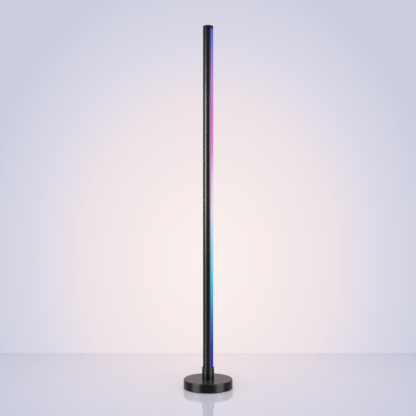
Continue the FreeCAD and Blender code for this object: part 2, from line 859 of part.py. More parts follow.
def make_board_chips():
    """The radio module and the two output drivers on the underside of the board."""
    body = new_body("board_chips")
    module = new_sketch(body, "module_outline", "XY_Plane", "board_low")
    module_low = "board_back + connector_length + module_gap"
    draw_box(module, "-module_width / 2", "module_width / 2", module_low, f"{module_low} + module_length")
    pad(body, module, "module", "module_thick", downward=True)
    drivers = new_sketch(body, "driver_outlines", "XY_Plane", "board_low")
    driver_low = f"{module_low} + module_length + driver_gap"
    driver_high = f"{driver_low} + driver_size"
    outer, inner = "board_width / 2 - driver_gap", "board_width / 2 - driver_gap - driver_size"
    draw_box(drivers, f"-({outer})", f"-({inner})", driver_low, driver_high)
    draw_box(drivers, inner, outer, driver_low, driver_high)
    pad(body, drivers, "drivers", "driver_thick", downward=True)


def make_board_capacitor():
    """The round capacitor beside the inlet."""
    body = new_body("board_capacitor")
    outline = new_sketch(body, "can_outline", "XY_Plane", "board_low")
    x = "-(board_width / 2 - capacitor_dia / 2 - capacitor_inset)"
    y = "board_front - board_corner - capacitor_dia / 2 - capacitor_inset"
    draw_circle(outline, "capacitor_dia / 2", x, y)
    pad(body, outline, "can", "capacitor_height", downward=True)


def make_lead_connector():
    """The white plug-in connector for the lead."""
    body = new_body("lead_connector")
    outline = new_sketch(body, "shroud_outline", "XY_Plane", "board_low")
    draw_box(outline, "-connector_width / 2", "connector_width / 2",
             "board_back", "board_back + connector_length")
    pad(body, outline, "shroud", "connector_thick", downward=True)


def make_board_screws():
    """The two screws that hold the board to its bosses."""
    body = new_body("board_screws")
    heads = new_sketch(body, "heads", "XY_Plane", "board_low")
    shanks = new_sketch(body, "shanks", "XY_Plane", "board_low")
    for sign in ("-", ""):
        draw_circle(heads, "board_screw_head / 2", f"{sign}(board_screw_x)", "board_screw_y")
        draw_circle(shanks, "board_screw_dia / 2", f"{sign}(board_screw_x)", "board_screw_y")
    pad(body, heads, "head_pads", "board_screw_head_thick", downward=True)
    pad(body, shanks, "shank_pads", "board_screw_length")


def make_dc_jack():
    """The moulded power inlet on the board. Its round nose fills the hole in the cover."""
    body = new_body("dc_jack")
    block = new_sketch(body, "block_outline", "XZ_Plane", "-(jack_front - jack_length)")
    half = "jack_size / 2"
    draw_box(block, f"-{half}", half, f"jack_axis - {half}", f"jack_axis + {half}")
    pad(body, block, "block", "jack_length", downward=True)
    nose = new_sketch(body, "nose_outline", "XZ_Plane", "-(jack_front - overrun)")
    draw_circle(nose, "jack_nose_dia / 2", "0", "jack_axis")
    pad(body, nose, "nose", "base_r - jack_setback - jack_front + overrun", downward=True)
    mouth = new_sketch(body, "mouth_outline", "XZ_Plane", "-(base_r + overrun)")
    draw_circle(mouth, "jack_bore / 2", "0", "jack_axis")
    pocket(body, mouth, "mouth", "jack_depth + overrun + jack_setback", upward=True)


def make_jack_pin():
    """The centre contact of the power inlet. It stops short of the mouth."""
    body = new_body("jack_pin")
    pin = new_sketch(body, "pin_outline", "XZ_Plane", "-(base_r - jack_setback - jack_depth)")
    draw_circle(pin, "jack_pin_dia / 2", "0", "jack_axis")
    pad(body, pin, "pin", "jack_depth - pin_setback", downward=True)


def make_strip_lead():
    """The round three-core lead from the connector, up the stud and through the web to the strip."""
    lead = document.addObject("Part::Feature", "strip_lead")
    lead.Label = "strip_lead"
    parts.append(lead)
    places = [
        ("0", "board_back", "lead_in_z"),
        ("0", "board_back - lead_dip", "lead_in_z"),
        ("0", "0", "lead_low"),
        ("0", "0", "pole_low + lead_rise"),
        ("lead_front", "0", "pole_low + lead_rise + lead_step"),
        ("lead_front", "0", "strip_low + lead_lap"),
    ]
    route = [Vector(*(measure(text) for text in place)) for place in places]
    widest = {2: measure("lead_bend")}
    lead.Shape = tube_along(route, measure("lead_dia / 2"), widest)
    lead.Placement = FreeCAD.Placement()


LEAD_SIDES = 8
BEND_SHARE = 0.45


def polygon_across(centre, direction, radius):
    """An even polygon of the lead's sides, square to a direction."""
    side = Vector(1, 0, 0)
    other = direction.cross(side)
    turns = [2 * math.pi * (step + 0.5) / LEAD_SIDES for step in range(LEAD_SIDES + 1)]
    corners = [centre + (side * math.cos(turn) + other * math.sin(turn)) * radius for turn in turns]
    return Part.makePolygon(corners)


def tube_along(route, radius, given_bends):
    """A lead with flat sides along straight runs joined by tangent arcs. It prints each bend's radius."""
    edges = []
    start = route[0]
    length = 0.0
    for index in range(1, len(route) - 1):
        corner = route[index]
        into = (corner - route[index - 1]).normalize()
        out = (route[index + 1] - corner).normalize()
        half_turn = into.getAngle(out) / 2
        shorter = min((corner - route[index - 1]).Length, (route[index + 1] - corner).Length)
        bend = given_bends.get(index, BEND_SHARE * shorter / math.tan(half_turn))
        setback = bend * math.tan(half_turn)
        begin, end = corner - into * setback, corner + out * setback
        towards = (out - into).normalize()
        centre = corner + towards * (bend / math.cos(half_turn))
        edges.append(Part.LineSegment(start, begin).toShape())
        edges.append(Part.Arc(begin, centre - towards * bend, end).toShape())
        length += (begin - start).Length + 2 * half_turn * bend
        start = end
        print(f"lead bend {index}: radius {bend:.1f} mm")
    edges.append(Part.LineSegment(start, route[-1]).toShape())
    length += (route[-1] - start).Length
    path = Part.Wire(edges)
    ring = polygon_across(route[0], (route[1] - route[0]).normalize(), radius)
    tube = path.makePipeShell([ring], True, False)
    expected = Part.Face(ring).Area * length
    print(f"lead length {length:.1f} mm, volume {tube.Volume:.1f} of {expected:.1f} mm3")
    return tube


# ---------------------------------------------------------------------------------------------
# The lamp
# ---------------------------------------------------------------------------------------------

LOWER_JOINT = "pole_low + length_each"
UPPER_JOINT = "pole_low + 2 * length_each"

make_base_shell()
make_base_weight()
make_base_plate()
make_base_plate_screws()
make_foot_pads()
make_socket_collar()
make_centre_stud()
make_stud_washer()
make_stud_nut()
make_pole_end_plate()
make_end_plate_screws()
make_pole_length("pole_lower", "pole_low", [(LOWER_JOINT, "-")], foot=True)
make_pole_length("pole_middle", LOWER_JOINT, [(LOWER_JOINT, "+"), (UPPER_JOINT, "-")])
make_pole_length("pole_upper", UPPER_JOINT, [(UPPER_JOINT, "+")])
make_joiner("joiner_lower", LOWER_JOINT)
make_joiner("joiner_upper", UPPER_JOINT)
make_joiner_screws([LOWER_JOINT, UPPER_JOINT])
make_led_strip()
make_led_chips()
make_diffuser()
make_top_cap()
make_controller_board()
make_board_chips()
make_board_capacitor()
make_lead_connector()
make_board_screws()
make_dc_jack()
make_jack_pin()
make_strip_lead()

document.recompute()
for item in document.Objects:
    if {"Invalid", "Error"} & set(item.State):
        raise RuntimeError(f"{item.Label} is {item.State}")
os.makedirs("parts", exist_ok=True)
for part in parts:
    if part.Shape.isNull() or not part.Shape.isValid():
        raise RuntimeError(f"{part.Label} has no valid shape")
    part.Shape.exportStep(f"parts/{part.Label}.step")
    box = part.Shape.BoundBox
    print(f"{part.Label:18s} {len(part.Shape.Solids):3d} solids  z {box.ZMin:8.2f} to {box.ZMax:8.2f}")
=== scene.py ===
# %% [markdown]
# # A corner floor lamp
#
# The real lamp is a slim black column on a round base. Its light comes out of a slot that runs the
# whole height of the column, behind an opal cover, so the lamp can stand in a corner and wash both
# walls.
#
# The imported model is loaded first. It is the fixed frame of this scene: every piece below takes its
# place and its size from a node of it, so nothing has to be fitted by eye.

# %% Load the frame
import json
import math

import bmesh
import bpy
from mathutils import Matrix, Vector

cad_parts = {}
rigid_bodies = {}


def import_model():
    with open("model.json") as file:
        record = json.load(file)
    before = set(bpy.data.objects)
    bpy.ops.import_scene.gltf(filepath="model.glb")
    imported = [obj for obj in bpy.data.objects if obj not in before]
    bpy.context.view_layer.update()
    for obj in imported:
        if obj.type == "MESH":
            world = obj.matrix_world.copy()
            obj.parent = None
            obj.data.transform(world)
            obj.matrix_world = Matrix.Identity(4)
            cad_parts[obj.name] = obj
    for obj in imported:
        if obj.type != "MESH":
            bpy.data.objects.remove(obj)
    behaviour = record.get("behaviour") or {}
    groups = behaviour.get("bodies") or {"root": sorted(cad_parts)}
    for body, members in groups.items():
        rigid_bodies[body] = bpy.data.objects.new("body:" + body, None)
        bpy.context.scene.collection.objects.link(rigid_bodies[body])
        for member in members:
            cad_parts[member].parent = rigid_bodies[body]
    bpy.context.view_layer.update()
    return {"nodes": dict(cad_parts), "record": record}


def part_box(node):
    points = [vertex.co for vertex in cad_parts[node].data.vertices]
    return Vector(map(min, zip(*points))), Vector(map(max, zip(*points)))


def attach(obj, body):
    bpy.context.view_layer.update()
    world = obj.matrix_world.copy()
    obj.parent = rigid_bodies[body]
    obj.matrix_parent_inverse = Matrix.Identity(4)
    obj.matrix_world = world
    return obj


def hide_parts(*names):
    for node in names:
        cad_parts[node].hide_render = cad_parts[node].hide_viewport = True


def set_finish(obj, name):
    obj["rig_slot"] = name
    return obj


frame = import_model()
nodes = frame["nodes"]
print("nodes in the frame:", len(nodes))

# %% [markdown]
# ## Camera
#
# The photograph looks straight at the lamp from a little under half its height, and the column
# keeps the same width from foot to cap. So the camera is level: it is turned by exactly 90 degrees
# and isn't tilted. A tilted camera with a shift could frame the same view, but then the other views
# would be shifted too.

# %% Camera
camera_data = bpy.data.cameras.new("camera")
camera_data.lens = 61.6
camera = bpy.data.objects.new("camera", camera_data)
camera.location = (-0.0004, -2.758, 0.695)
camera.rotation_euler = (math.radians(90), 0, 0)
bpy.context.scene.collection.objects.link(camera)
bpy.context.scene.camera = camera
print("camera height:", camera.location.z)

# %% [markdown]
# ## Reading sizes off the frame
#
# A maker would read the same numbers off a drawing: half the width of a round piece is its
# radius. They are read here once and get a name.

# %% Sizes of the visible pieces
base_low, base_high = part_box("base_shell")
collar_low, collar_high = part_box("socket_collar")
pole_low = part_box("pole_lower")[0]
cap_low, cap_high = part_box("top_cap")
BASE_RADIUS = base_high.x
BASE_TOP = base_high.z
BASE_BOTTOM = base_low.z
COLLAR_RADIUS = collar_high.x
COLLAR_TOP = collar_high.z
POLE_RADIUS = -pole_low.x
POLE_FOOT = pole_low.z
POLE_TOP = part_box("diffuser")[1].z
CAP_TOP = cap_high.z
print("base radius", round(BASE_RADIUS, 4))
print("column radius", round(POLE_RADIUS, 4), "height", round(CAP_TOP, 4))

# %% [markdown]
# ## Holes
#
# A few holes run across a piece, where neither turning nor extruding can reach: the power inlet,
# the grub screw holes and the sockets in the screw heads. A cutter of the hole's shape is taken
# away from the piece with a Boolean modifier. A cutter with six sides makes a hexagon socket.
#
# A Boolean needs a clean closed solid to cut from, so doubles are merged first and every face is
# turned outwards. On solids that overlap, its result can change from run to run. So only the wall
# that a hole goes through is drilled, and other forms join it afterwards.

# %% Helpers: clean a form and make a cutter
MM = 0.001
MERGE = 0.01 * MM


def clean(form):
    """Merges doubles and turns every face outwards."""
    bmesh.ops.remove_doubles(form, verts=form.verts, dist=MERGE)
    bmesh.ops.recalc_face_normals(form, faces=form.faces)


def hole_cutter(centre, direction, radius, depth=8 * MM, sides=32):
    """A rod that stands through a surface at a point. It is only used to cut with."""
    form = bmesh.new()
    bmesh.ops.create_cone(
        form, cap_ends=True, segments=sides, radius1=radius, radius2=radius, depth=depth,
    )
    turn = Vector((0, 0, 1)).rotation_difference(Vector(direction)).to_matrix().to_4x4()
    form.transform(Matrix.Translation(centre) @ turn)
    mesh = bpy.data.meshes.new("cutter")
    form.to_mesh(mesh)
    form.free()
    cutter = bpy.data.objects.new("cutter", mesh)
    bpy.context.scene.collection.objects.link(cutter)
    return cutter


# %% Helpers: drill a form
def settle(piece):
    """Stores what the modifiers make in the piece's own mesh."""
    bpy.context.view_layer.update()
    seen = piece.evaluated_get(bpy.context.evaluated_depsgraph_get())
    mesh = bpy.data.meshes.new_from_object(seen)
    piece.modifiers.clear()
    piece.data = mesh
    mesh.name = piece.name


def drill(form, cutters):
    """Takes each cutter away from a closed form, and gives back the form with its holes."""
    clean(form)
    mesh = bpy.data.meshes.new("blank")
    form.to_mesh(mesh)
    form.free()
    blank = bpy.data.objects.new("blank", mesh)
    bpy.context.scene.collection.objects.link(blank)
    for cutter in cutters:
        cut = blank.modifiers.new("hole", "BOOLEAN")
        cut.operation = "DIFFERENCE"
        cut.object = cutter
    settle(blank)
    drilled = bmesh.new()
    drilled.from_mesh(blank.data)
    for spent in (blank, *cutters):
        bpy.data.objects.remove(spent)
    return drilled


# %% [markdown]
# ## From a bmesh to a finished piece
#
# Every new piece ends the same way. Doubles are merged, because a full turn or two joined halves
# leave them, and only then are the normals recalculated, so that all faces point outwards. Faces
# are shaded smooth and edges sharper than 30 degrees stay sharp.
#
# Smooth shading alone would tilt the light on the large faces towards the small bevels beside them,
# and a long extruded wall would look dented. The Weighted Normal modifier lets the large faces
# decide, so they stay flat or truly round, and the bevel alone carries the turn. The result is
# stored in the mesh, and the piece rides on the lamp's only body.

# %% Helpers: finish a piece
SMOOTH_LIMIT = math.radians(30)


def finish_piece(name, form, slot, *replaced):
    """Turns a bmesh into a named piece of the lamp that rides with it."""
    clean(form)
    for face in form.faces:
        face.smooth = True
    rough_mesh = bpy.data.meshes.new(name)
    form.to_mesh(rough_mesh)
    form.free()
    piece = bpy.data.objects.new(name, rough_mesh)
    bpy.context.scene.collection.objects.link(piece)
    piece.data.set_sharp_from_angle(angle=SMOOTH_LIMIT)
    weighted = piece.modifiers.new("weighted", "WEIGHTED_NORMAL")
    weighted.keep_sharp = True
    settle(piece)
    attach(piece, "root")
    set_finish(piece, slot)
    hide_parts(*replaced)
    print(name, "faces:", len(piece.data.polygons))


def join_form(form, other):
    """Adds another form to this one as a solid of its own."""
    mesh = bpy.data.meshes.new("joined")
    other.to_mesh(mesh)
    other.free()
    form.from_mesh(mesh)
    bpy.data.meshes.remove(mesh)


# %% [markdown]
# ## Turned pieces
#
# The base cover, the collar, the cap, the feet and the screws are all round about an upright axis.
# On a lathe, half of the section is turned once about that axis, and the spin operator does the
# same: a few corners joined by edges go in, and a closed ring comes out. Corners that are round on
# the real piece are listed with their radius and are bevelled afterwards, which gives an even arc.

# %% Helpers: turn a section and round its rims
RIM_REACH = 0.02 * MM


def turn_section(corners, steps=128, centre=(0.0, 0.0), closed=True):
    """Spins a section of (radius, height) corners about an upright axis."""
    form = bmesh.new()
    cx, cy = centre
    points = [form.verts.new((cx + radius, cy, height)) for radius, height in corners]
    ring = points + points[:1] if closed else points
    edges = [form.edges.new(pair) for pair in zip(ring, ring[1:])]
    bmesh.ops.spin(
        form, geom=points + edges, cent=(cx, cy, 0), axis=(0, 0, 1),
        angle=2 * math.pi, steps=steps, use_merge=True,
    )
    bmesh.ops.remove_doubles(form, verts=form.verts, dist=MERGE)
    return form


def round_rims(form, radius, height, amount, segments=5, centre=(0.0, 0.0)):
    """Bevels the circle of edges that lies at one radius and one height."""
    middle = Vector((centre[0], centre[1], height))

    def on_rim(point):
        out = point - middle
        return abs(out.z) < RIM_REACH and abs(out.xy.length - radius) < RIM_REACH

    rim = [edge for edge in form.edges if all(on_rim(vert.co) for vert in edge.verts)]
    bmesh.ops.bevel(
        form, geom=rim, offset=amount, affect="EDGES", segments=segments, profile=0.5, material=-1,
    )


# %% [markdown]
# ## Base cover
#
# The cover is pressed from sheet steel: a shallow round cup, open below, with one wall thickness
# all over and a soft outer edge, because a press can't make a sharp one. It is turned from its
# section and its outer edge is rounded. The small round hole for the power inlet is cut with a
# Boolean, since it goes through the side, where a turned section can't reach.

# %% Base cover
COVER_WALL = 1.5 * MM
COVER_EDGE = 3.0 * MM
inlet_low, inlet_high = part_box("dc_jack")
INLET_HEIGHT = (inlet_low.z + inlet_high.z) / 2
INLET_HOLE = 4.1 * MM
HUB_HOLE = 12.0 * MM
inner = BASE_RADIUS - COVER_WALL
ceiling = BASE_TOP - COVER_WALL
cover = turn_section([
    (HUB_HOLE, ceiling), (inner, ceiling), (inner, BASE_BOTTOM),
    (BASE_RADIUS, BASE_BOTTOM), (BASE_RADIUS, BASE_TOP), (HUB_HOLE, BASE_TOP),
], steps=160)
round_rims(cover, BASE_RADIUS, BASE_TOP, COVER_EDGE, segments=8)
round_rims(cover, inner, ceiling, COVER_WALL, segments=4)
inlet = hole_cutter((0, BASE_RADIUS, INLET_HEIGHT), (0, 1, 0), INLET_HOLE)
finish_piece("base_cover", drill(cover, [inlet]), "satin_black", "base_shell")

# %% [markdown]
# ## Socket collar
#
# The collar is turned from bar: a thick sleeve with a flat floor inside, on which the end plate of
# the column stands, and a short spigot below that finds the hole in the cover. Its rims are broken
# as a lathe tool leaves them: the outer one is rounded and catches the light, and the other two
# have a very small bevel.

# %% Socket collar
SPIGOT_RADIUS = 11.9 * MM
STUD_HOLE = 5.3 * MM
SOCKET_GAP, END_PLATE = 0.15 * MM, 10.0 * MM
SOCKET_RADIUS = POLE_RADIUS + SOCKET_GAP
SOCKET_FLOOR = POLE_FOOT - END_PLATE
COLLAR_EDGE, SOCKET_EDGE, COLLAR_FOOT_EDGE = 1.2 * MM, 0.4 * MM, 0.3 * MM
sleeve = turn_section([
    (STUD_HOLE, collar_low.z), (SPIGOT_RADIUS, collar_low.z), (SPIGOT_RADIUS, BASE_TOP),
    (COLLAR_RADIUS, BASE_TOP), (COLLAR_RADIUS, COLLAR_TOP), (SOCKET_RADIUS, COLLAR_TOP),
    (SOCKET_RADIUS, SOCKET_FLOOR), (STUD_HOLE, SOCKET_FLOOR),
], steps=112)
round_rims(sleeve, COLLAR_RADIUS, COLLAR_TOP, COLLAR_EDGE, segments=4)
round_rims(sleeve, SOCKET_RADIUS, COLLAR_TOP, SOCKET_EDGE, segments=2)
round_rims(sleeve, COLLAR_RADIUS, BASE_TOP, COLLAR_FOOT_EDGE, segments=2)
finish_piece("collar_sleeve", sleeve, "satin_black", "socket_collar")

# %% [markdown]
# ## The column, an extruded profile
#
# Aluminium is pressed through a die, so the column has the same section all the way up: a round
# wall that is open over a third of a turn, a web across it that carries the light strip, two beads
# that the opal cover snaps over, two screw ports and a channel for the bars that join the lengths.
#
# An extrusion is modelled the way it is made. Each part of the section is a short radial edge swept
# through an arc, or a flat rectangle, and the flat section is then extruded upwards in one step.
# The ends of each length get a very small bevel, which is what makes a joint between two lengths
# visible as a hairline from close by.

# %% Helpers: flat sections to extrude
SLOT_HALF = 60.0
WALL = 1.8 * MM
BORE_RADIUS = POLE_RADIUS - WALL
WEB_BACK, WEB_FRONT = 3.5 * MM, 5.1 * MM
OUTLINE_REACH = 0.05 * MM
ARRIS_LIMIT = math.radians(60)


def swept_strip(form, outer, inner, start, sweep, steps, height, centre=(0.0, 0.0)):
    """A flat strip between two radii, from one angle through another, at a given height."""
    cx, cy = centre
    angle = math.radians(start)
    ray = Vector((math.cos(angle), math.sin(angle), 0))
    foot = Vector((cx, cy, height))
    ends = [form.verts.new(foot + ray * radius) for radius in (outer, inner)]
    edge = form.edges.new(ends)
    bmesh.ops.spin(
        form, geom=ends + [edge], cent=foot, axis=(0, 0, 1), angle=math.radians(sweep), steps=steps,
    )


def flat_plate(form, x0, x1, y0, y1, height):
    """A flat rectangle at a given height."""
    corners = [(x0, y0), (x1, y0), (x1, y1), (x0, y1)]
    form.faces.new([form.verts.new((x, y, height)) for x, y in corners])


def raise_section(form, rise):
    """Extrudes every flat face of the section upwards and closes the solid below and above."""
    bmesh.ops.remove_doubles(form, verts=form.verts, dist=MERGE)
    made = bmesh.ops.extrude_face_region(form, geom=list(form.faces), use_keep_orig=True)
    lifted = [item for item in made["geom"] if isinstance(item, bmesh.types.BMVert)]
    bmesh.ops.translate(form, verts=lifted, vec=(0, 0, rise))


def soften_arrises(form, amount):
    """Bevels the sharp edges that lie in the round outline of the column."""
    arrises = [
        edge for edge in form.edges
        if edge.is_manifold and edge.calc_face_angle() > ARRIS_LIMIT
        and all(vert.co.xy.length > POLE_RADIUS - OUTLINE_REACH for vert in edge.verts)
    ]
    bmesh.ops.bevel(
        form, geom=arrises, offset=amount, affect="EDGES", segments=2, profile=0.5, material=-1,
    )


# %% [markdown]
# ### Three equal lengths
#
# A 1.4 m lamp ships in a short box, so its column comes in three equal lengths of the same profile.
# One function makes a length, and it is called once for each node of the frame, with the height
# that the node has.
#
# The bars that join the lengths are pressed forward by grub screws, which go in through the back of
# the column. So the wall of each length is drilled where such a screw falls between its ends,
# before the parts inside it join the wall.

# %% Column lengths
LENGTH_EDGE = 0.12 * MM
WALL_LAP, WEB_LAP, PORT_LAP = 0.2 * MM, 0.3 * MM, 0.3 * MM
BEAD_HEIGHT, BEAD_ANGLE = 0.8 * MM, 3.5
PORT_RADIUS, PORT_BORE = 3.2 * MM, 1.45 * MM
PORT_REACH = BORE_RADIUS - PORT_RADIUS + PORT_LAP
PORT_ANGLE, PORT_GAP = 115, 18
RIB_BACK, LIP_BACK, LIP_FRONT = -16.4 * MM, -11.6 * MM, -10.4 * MM
LIP_INNER, RIB_INNER, RIB_OUTER = 6.2 * MM, 8.1 * MM, 9.6 * MM
GRUB_SPREAD, GRUB_HOLE = 28 * MM, 2.3 * MM
JOINTS = [corner.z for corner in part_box("pole_middle")]
GRUB_HEIGHTS = [joint + step for joint in JOINTS for step in (-GRUB_SPREAD, GRUB_SPREAD)]


def column_length(name, node):
    """One length of the light profile, between the heights of its node."""
    low, high = (corner.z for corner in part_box(node))
    form = bmesh.new()
    swept_strip(form, POLE_RADIUS, BORE_RADIUS, SLOT_HALF, 360 - 2 * SLOT_HALF,
                steps=96, height=low)
    raise_section(form, high - low)
    soften_arrises(form, LENGTH_EDGE)
    wall = drill(form, [
        hole_cutter((-POLE_RADIUS, 0, height), (-1, 0, 0), GRUB_HOLE)
        for height in GRUB_HEIGHTS if low < height < high
    ])
    inside = bmesh.new()
    half = math.sqrt(BORE_RADIUS ** 2 - WEB_FRONT ** 2) + WEB_LAP
    flat_plate(inside, WEB_BACK, WEB_FRONT, -half, half, low)
    for side in (1, -1):
        swept_strip(inside, BORE_RADIUS + WALL_LAP, BORE_RADIUS - BEAD_HEIGHT,
                    side * SLOT_HALF, side * BEAD_ANGLE, steps=4, height=low)
        angle = math.radians(PORT_ANGLE) * side
        port = (PORT_REACH * math.cos(angle), PORT_REACH * math.sin(angle))
        swept_strip(inside, PORT_RADIUS, PORT_BORE, math.degrees(angle) + 180 + PORT_GAP,
                    360 - 2 * PORT_GAP, steps=18, height=low, centre=port)
        flat_plate(inside, RIB_BACK, LIP_BACK, side * RIB_INNER, side * RIB_OUTER, low)
        flat_plate(inside, LIP_BACK, LIP_FRONT, side * LIP_INNER, side * RIB_OUTER, low)
    raise_section(inside, high - low)
    clean(inside)
    join_form(wall, inside)
    finish_piece(name, wall, "satin_black", node)


for place in ("lower", "middle", "upper"):
    column_length(f"column_{place}", f"pole_{place}")

# %% [markdown]
# ## Opal cover
#
# The cover is extruded too, in a milky acrylic, and follows the round outline of the column so
# exactly that only a thin dark line shows where they meet. That line is a real gap: the cover is a
# little narrower than the slot. Its two long edges turn inwards as legs with a hook, which snap
# behind the beads of the column.

# %% Opal cover
cover_low, cover_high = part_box("diffuser")
COVER_GAP_ANGLE = 0.7
COVER_EDGE_ANGLE = SLOT_HALF - COVER_GAP_ANGLE
OPAL_WALL, OPAL_EDGE = 1.6 * MM, 0.15 * MM
LEG_OUTER, LEG_ANGLE = POLE_RADIUS - 1.4 * MM, 4
HOOK_OUTER, HOOK_INNER, HOOK_ANGLE = 17.1 * MM, 15.9 * MM, 7.5
opal = bmesh.new()
swept_strip(opal, POLE_RADIUS, POLE_RADIUS - OPAL_WALL, -COVER_EDGE_ANGLE, 2 * COVER_EDGE_ANGLE,
            steps=48, height=cover_low.z)
raise_section(opal, cover_high.z - cover_low.z)
soften_arrises(opal, OPAL_EDGE)
legs = bmesh.new()
for side in (1, -1):
    swept_strip(legs, LEG_OUTER, HOOK_INNER, side * (COVER_EDGE_ANGLE - LEG_ANGLE),
                side * LEG_ANGLE, steps=3, height=cover_low.z)
    swept_strip(legs, HOOK_OUTER, HOOK_INNER, side * COVER_EDGE_ANGLE, side * HOOK_ANGLE,
                steps=4, height=cover_low.z)
raise_section(legs, cover_high.z - cover_low.z)
join_form(opal, legs)
finish_piece("opal_cover", opal, "opal", "diffuser")

# %% [markdown]
# ## Top cap
#
# The cap is moulded in black plastic: a flat disc with a soft edge, and a square hollow plug below
# it that presses into the back chamber of the profile. The disc is turned, and the plug is a box
# that is open below, with a wall given to it by solidify.

# %% Top cap
CAP_EDGE, CAP_FOOT_EDGE = 2.0 * MM, 0.3 * MM
PLUG_BACK, PLUG_FRONT, PLUG_HALF = -10.2 * MM, 3.3 * MM, 8.9 * MM
PLUG_WALL, PLUG_LAP = 2.4 * MM, 1 * MM
cap = turn_section([(0, POLE_TOP), (POLE_RADIUS, POLE_TOP), (POLE_RADIUS, CAP_TOP), (0, CAP_TOP)],
                   steps=96, closed=False)
round_rims(cap, POLE_RADIUS, CAP_TOP, CAP_EDGE, segments=6)
round_rims(cap, POLE_RADIUS, POLE_TOP, CAP_FOOT_EDGE, segments=2)
plug = bmesh.new()
flat_plate(plug, PLUG_BACK, PLUG_FRONT, -PLUG_HALF, PLUG_HALF, cap_low.z)
raise_section(plug, POLE_TOP + PLUG_LAP - cap_low.z)
underside = [face for face in plug.faces if face.calc_center_median().z < cap_low.z + MERGE]
bmesh.ops.delete(plug, geom=underside, context="FACES_ONLY")
bmesh.ops.recalc_face_normals(plug, faces=plug.faces)
bmesh.ops.solidify(plug, geom=plug.faces, thickness=PLUG_WALL)
join_form(cap, plug)
finish_piece("cap", cap, "cap_black", "top_cap")

# %% [markdown]
# ## Feet
#
# Four rubber pads lift the base off the floor by two millimetres. From the front only the dark line
# under the base tells of them. Each is a short disc with soft edges, and they share one piece.

# %% Foot pads
pads_low, pads_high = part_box("foot_pads")
PAD_RADIUS, PAD_EDGE = 9.0 * MM, 0.5 * MM
pad_reach = pads_high.x - PAD_RADIUS
pads = bmesh.new()
for quarter in range(4):
    angle = math.radians(90 * quarter)
    place = (pad_reach * math.cos(angle), pad_reach * math.sin(angle))
    disc = turn_section([
        (0, pads_low.z), (PAD_RADIUS, pads_low.z), (PAD_RADIUS, pads_high.z), (0, pads_high.z),
    ], steps=40, centre=place, closed=False)
    round_rims(disc, PAD_RADIUS, pads_low.z, PAD_EDGE, segments=3, centre=place)
    join_form(pads, disc)
finish_piece("rubber_pads", pads, "pad_rubber", "foot_pads")

# %% [markdown]
# ## Screws that show
#
# Two kinds of screw can be seen on the real lamp: four countersunk screws that hold the plate under
# the base, and four grub screws in the back of the column. Both are driven with a hexagon key. A
# screw is turned from its section, and its socket is cut with a six-sided cutter. A grub screw is
# turned upright and then laid on its side, with its socket pointing out of the back of the column.
# The grub screws are blackened like the plate, so that they don't shine out of the black column.

# %% Base plate screws
screws_low, screws_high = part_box("base_plate_screws")
HEAD_RADIUS, SHANK_RADIUS, HEAD_EDGE = 3.4 * MM, 2.0 * MM, 0.12 * MM
HEAD_KEY, HEAD_KEY_DEPTH = 1.45 * MM, 2.4 * MM
NECK = screws_low.z + HEAD_RADIUS - SHANK_RADIUS
screw_reach = screws_high.x - HEAD_RADIUS
screws = bmesh.new()
sockets = []
for side_x, side_y in ((1, 1), (-1, 1), (-1, -1), (1, -1)):
    place = (side_x * screw_reach, side_y * screw_reach)
    screw = turn_section([
        (0, screws_low.z), (HEAD_RADIUS, screws_low.z), (SHANK_RADIUS, NECK),
        (SHANK_RADIUS, screws_high.z), (0, screws_high.z),
    ], steps=32, centre=place, closed=False)
    round_rims(screw, HEAD_RADIUS, screws_low.z, HEAD_EDGE, segments=2, centre=place)
    join_form(screws, screw)
    sockets.append(
        hole_cutter((*place, screws_low.z), (0, 0, -1), HEAD_KEY, HEAD_KEY_DEPTH, sides=6)
    )
finish_piece("plate_screws", drill(screws, sockets), "zinc_steel", "base_plate_screws")

# %% Grub screws
grub_low, grub_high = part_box("joiner_screws")
GRUB_EDGE, GRUB_KEY, GRUB_KEY_DEPTH = 0.3 * MM, 1.15 * MM, 4 * MM
grubs = bmesh.new()
sockets = []
for height in GRUB_HEIGHTS:
    grub = turn_section([
        (0, -grub_high.x), (grub_high.y, -grub_high.x),
        (grub_high.y, -grub_low.x), (0, -grub_low.x),
    ], steps=32, closed=False)
    round_rims(grub, grub_high.y, -grub_low.x, GRUB_EDGE, segments=2)
    grub.transform(Matrix.Translation((0, 0, height)) @ Matrix.Rotation(math.radians(-90), 4, "Y"))
    join_form(grubs, grub)
    sockets.append(
        hole_cutter((grub_low.x, 0, height), (-1, 0, 0), GRUB_KEY, GRUB_KEY_DEPTH, sides=6)
    )
finish_piece("grub_screws", drill(grubs, sockets), "black_plate", "joiner_screws")

# %% [markdown]
# ## Shared surface effects
#
# Two effects are used by more than one finish, so each is built once as a node group. *Paint
# texture* gives the very fine orange peel of sprayed paint or moulded plastic: a height for a Bump
# node and a slight unevenness of gloss. The second group makes a mask that gathers on faces that
# look upwards: partly fine dust, partly a painted sheen that makes the tops lighter and warmer.

# %% Node groups
def new_group(name, inputs, outputs):
    """An empty shader node group with named number inputs and outputs."""
    group = bpy.data.node_groups.new(name, "ShaderNodeTree")
    for label, value in inputs.items():
        socket = group.interface.new_socket(label, in_out="INPUT", socket_type="NodeSocketFloat")
        socket.default_value = value
    for label, kind in outputs.items():
        group.interface.new_socket(label, in_out="OUTPUT", socket_type=kind)
    return group, group.nodes.new("NodeGroupInput"), group.nodes.new("NodeGroupOutput")


def math_node(tree, operation, first, second=None):
    """A Math node fed by sockets or plain numbers."""
    node = tree.nodes.new("ShaderNodeMath")
    node.operation = operation
    for index, value in enumerate((first, second)):
        if value is None:
            continue
        if isinstance(value, (int, float)):
            node.inputs[index].default_value = value
        else:
            tree.links.new(value, node.inputs[index])
    return node.outputs[0]


